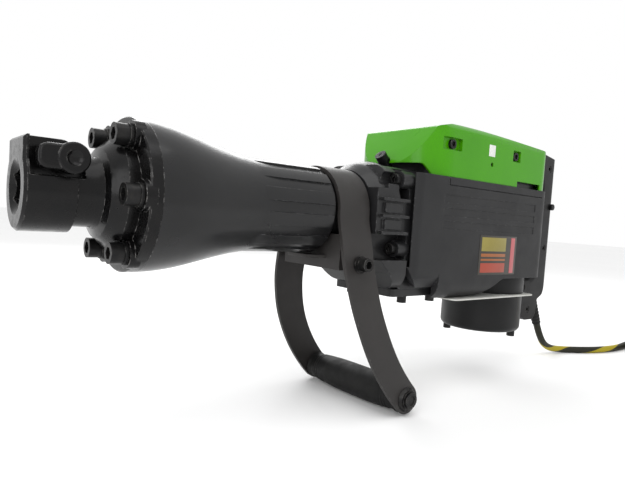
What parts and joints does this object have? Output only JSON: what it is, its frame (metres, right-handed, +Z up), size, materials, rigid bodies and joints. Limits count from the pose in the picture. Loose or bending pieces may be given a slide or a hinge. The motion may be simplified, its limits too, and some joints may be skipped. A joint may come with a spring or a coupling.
{
  "type": "electric jackhammer",
  "caption": "Electric demolition hammer: flared barrel with hex socket, crank and piston drive, hung motor, D-shaped rear handle, swinging side handle, supply cord.",
  "frame": {"origin": "on the surface it lies on, under the middle of the machine without its cord", "axes": "+X from the chisel socket towards the rear handle, +Z up with the machine level on its side handle, +Y to the machine's right-hand side"},
  "size_m": [1.052, 0.2924, 0.307],
  "materials": {
    "black_forging": "blackened steel forging, satin",
    "grey_casting": "dark grey coat on an aluminium casting",
    "strap_paint": "dark grey powder coat on bent strip",
    "green_paint": "glossy leaf-green enamel",
    "black_steel": "black oxide screws and nuts",
    "bare_steel": "ground and turned steel, oiled",
    "bare_aluminium": "machined aluminium",
    "brass_parts": "drawn brass",
    "copper_wire": "enamelled copper, brown",
    "graphite": "pressed carbon, matte",
    "dark_plastic": "dark grey glass-filled nylon",
    "black_plastic": "black glass-filled nylon",
    "trigger_plastic": "black nylon, smooth",
    "light_gasket": "pale grey fibre gasket",
    "black_rubber": "black moulded rubber",
    "cord_rubber": "black rubber sheath with a yellow tracer"
  },
  "bodies": {
    "machine": {"nose_cap": "black_forging", "nose_washers": "black_steel", "nose_screws": "black_steel", "barrel_cover": "grey_casting", "anvil_guide": "bare_steel", "cylinder_sleeve": "bare_steel", "ball_bearings": "bare_steel", "crank_case": "grey_casting", "bottom_plate": "grey_casting", "crank_case_screws": "black_steel", "oil_plug": "black_plastic", "gear_case": "bare_aluminium", "gear_case_lid": "bare_aluminium", "motor_tube": "black_plastic", "stator": "bare_steel", "field_coils": "copper_wire", "carbon_brushes": "graphite", "brush_holders": "brass_parts", "tail_cap": "black_plastic", "tail_screws": "black_steel", "housing_left": "dark_plastic", "housing_right": "dark_plastic", "base_gasket": "light_gasket", "top_cover": "green_paint", "cover_screws": "black_steel", "rear_handle_left": "black_plastic", "rear_handle_right": "black_plastic", "handle_screws": "black_steel", "trigger_pin": "black_steel", "switch_block": "black_plastic", "cord_guard": "black_rubber", "supply_cord": "cord_rubber", "cord_coil": "cord_rubber", "plug_body": "black_rubber", "plug_pins": "brass_parts"},
    "retainer": {"retainer_lever": "black_forging"},
    "anvil": {"anvil": "bare_steel"},
    "striker": {"striker": "bare_steel"},
    "piston": {"piston": "bare_aluminium", "wrist_pin": "bare_steel", "connecting_rod": "bare_aluminium"},
    "crank": {"crank_gear": "bare_steel", "crankshaft": "bare_steel"},
    "idler": {"idler_gear": "bare_steel", "idler_shaft": "bare_steel"},
    "armature": {"armature_shaft": "bare_steel", "armature_core": "bare_steel", "commutator": "copper_wire", "cooling_fan": "black_plastic"},
    "trigger": {"trigger": "trigger_plastic"},
    "lock_button": {"lock_button": "trigger_plastic"},
    "side_handle": {"side_strap": "strap_paint", "clamp_liner": "black_rubber", "clamp_saddle": "strap_paint", "clamp_bolt": "black_steel", "clamp_nut_washers": "black_steel", "side_grip": "black_rubber", "grip_rod": "black_steel", "grip_nuts": "black_steel", "grip_clips": "black_steel"}
  },
  "joints": [
    {"name": "retainer_turn", "type": "hinge", "parent": "machine", "child": "retainer", "pos_m": [-0.3235, 0, 0.2205], "axis": [0, 1, 0], "range_deg": [0, 180]},
    {"name": "anvil_slide", "type": "slide", "parent": "machine", "child": "anvil", "axis": [1, 0, 0], "range_m": [0, 0.008]},
    {"name": "striker_slide", "type": "slide", "parent": "machine", "child": "striker", "axis": [1, 0, 0], "range_m": [-0.008, 0.012]},
    {"name": "piston_slide", "type": "slide", "parent": "machine", "child": "piston", "axis": [1, 0, 0], "range_m": [0, 0.026]},
    {"name": "armature_spin", "type": "hinge", "parent": "machine", "child": "armature", "pos_m": [0.2136, 0, 0.1], "axis": [0, 0, 1], "continuous": true},
    {"name": "idler_spin", "type": "hinge", "parent": "machine", "child": "idler", "pos_m": [0.1586, 0, 0.26], "axis": [0, 0, 1], "continuous": true},
    {"name": "crank_spin", "type": "hinge", "parent": "machine", "child": "crank", "pos_m": [0.0966, 0, 0.24], "axis": [0, 0, 1], "continuous": true},
    {"name": "trigger_squeeze", "type": "hinge", "parent": "machine", "child": "trigger", "pos_m": [0.325, 0, 0.257], "axis": [0, -1, 0], "range_deg": [0, 7], "stiffness_Nm_per_rad": 1.2, "springref_deg": -4.58},
    {"name": "lock_button_press", "type": "slide", "parent": "machine", "child": "lock_button", "axis": [0, 1, 0], "range_m": [0, 0.003], "stiffness_N_per_m": 400, "springref_m": -0.002},
    {"name": "side_handle_swing", "type": "hinge", "parent": "machine", "child": "side_handle", "pos_m": [-0.0695, 0, 0.199], "axis": [1, 0, 0], "continuous": true}
  ],
  "couplings": [
    {"joint": "idler_spin", "follows": "armature_spin", "ratio": -0.15789},
    {"joint": "crank_spin", "follows": "armature_spin", "ratio": 0.046053}
  ]
}
